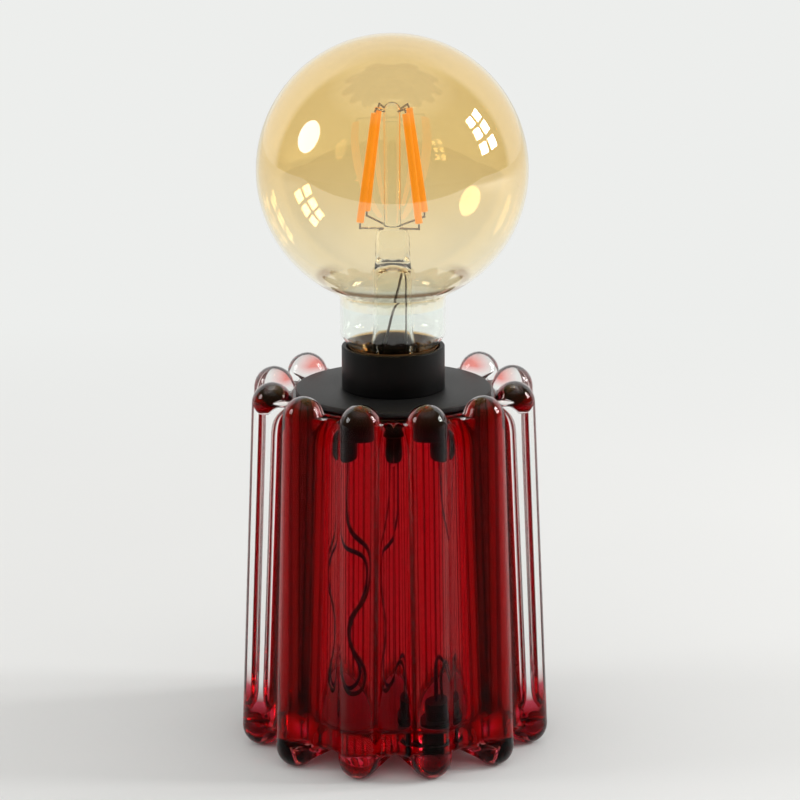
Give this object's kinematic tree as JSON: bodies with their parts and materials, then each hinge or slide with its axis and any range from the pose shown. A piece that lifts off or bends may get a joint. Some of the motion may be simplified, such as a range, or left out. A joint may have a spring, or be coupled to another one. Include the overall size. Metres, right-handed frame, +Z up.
{
  "type": "table lamp",
  "caption": "Ribbed ruby glass vessel with a black lid that lifts off, a screw lamp holder in the lid and an amber globe bulb with LED filaments that unscrews.",
  "frame": {"origin": "on the table, under the axis of the vessel", "axes": "+Z up along the vessel's and bulb's axis, -Y to the front"},
  "size_m": [0.1094, 0.1094, 0.2541],
  "materials": {
    "ruby_glass": "polished ruby glass",
    "clear_glass": "polished clear glass",
    "amber_glass": "amber lustre on clear glass",
    "black_metal": "matte black powder coat",
    "black_plastic": "matte black moulded",
    "nickel_steel": "nickel plated",
    "seal_rubber": "soft moulded",
    "brown_insulation": "extruded",
    "blue_insulation": "extruded",
    "contact_brass": "stamped",
    "solder_tin": "solder",
    "filament_phosphor": "phosphor silicone",
    "bulb_wire": "drawn wire",
    "cap_metal": "nickel plated, rolled thread",
    "cap_insulation": "black glass insulator",
    "cement": "fired basing cement",
    "circuit_board": "solder mask",
    "capacitor_sleeve": "printed sleeve"
  },
  "bodies": {
    "vessel": {"ruby_vessel": "ruby_glass", "glass_rib_1": "clear_glass", "glass_rib_2": "clear_glass", "glass_rib_3": "clear_glass", "glass_rib_4": "clear_glass", "glass_rib_5": "clear_glass", "glass_rib_6": "clear_glass", "glass_rib_7": "clear_glass", "glass_rib_8": "clear_glass", "glass_rib_9": "clear_glass", "glass_rib_10": "clear_glass", "glass_rib_11": "clear_glass", "glass_rib_12": "clear_glass", "cord_bush": "black_plastic", "bush_nut": "nickel_steel", "bush_seal": "seal_rubber", "lead_live": "brown_insulation", "lead_neutral": "blue_insulation"},
    "lid": {"lid_plate": "black_metal", "lid_spigot": "black_plastic", "collar": "black_plastic", "holder_barrel": "black_plastic", "holder_base": "black_plastic", "base_screws": "nickel_steel", "lock_ring": "black_plastic", "thread_shell": "contact_brass", "centre_contact": "contact_brass", "side_contact": "contact_brass", "terminals": "contact_brass", "terminal_screws": "nickel_steel"},
    "bulb_tip": {"contact_tip": "solder_tin"},
    "bulb": {"bulb_glass": "amber_glass", "glass_stem": "clear_glass", "led_filament_1": "filament_phosphor", "led_filament_2": "filament_phosphor", "led_filament_3": "filament_phosphor", "led_filament_4": "filament_phosphor", "filament_top_wires": "bulb_wire", "filament_base_wires": "bulb_wire", "lead_in_wires": "bulb_wire", "screw_cap": "cap_metal", "cap_insulator": "cap_insulation", "cap_cement": "cement", "driver_board": "circuit_board", "driver_capacitor": "capacitor_sleeve"}
  },
  "joints": [
    {"name": "lid_lift", "type": "slide", "parent": "vessel", "child": "lid", "axis": [0, 0, 1], "range_m": [0, 0.04], "deforming": ["lead_live", "lead_neutral"]},
    {"name": "bulb_rise", "type": "slide", "parent": "lid", "child": "bulb_tip", "axis": [0, 0, 1], "range_m": [0, 0.01815]},
    {"name": "bulb_turn", "type": "hinge", "parent": "bulb_tip", "child": "bulb", "pos_m": [0, 0, 0.115], "axis": [0, 0, 1], "range_deg": [0, 1800]}
  ],
  "couplings": [
    {"joint": "bulb_rise", "follows": "bulb_turn", "m_per_rad": 0.00057757}
  ]
}
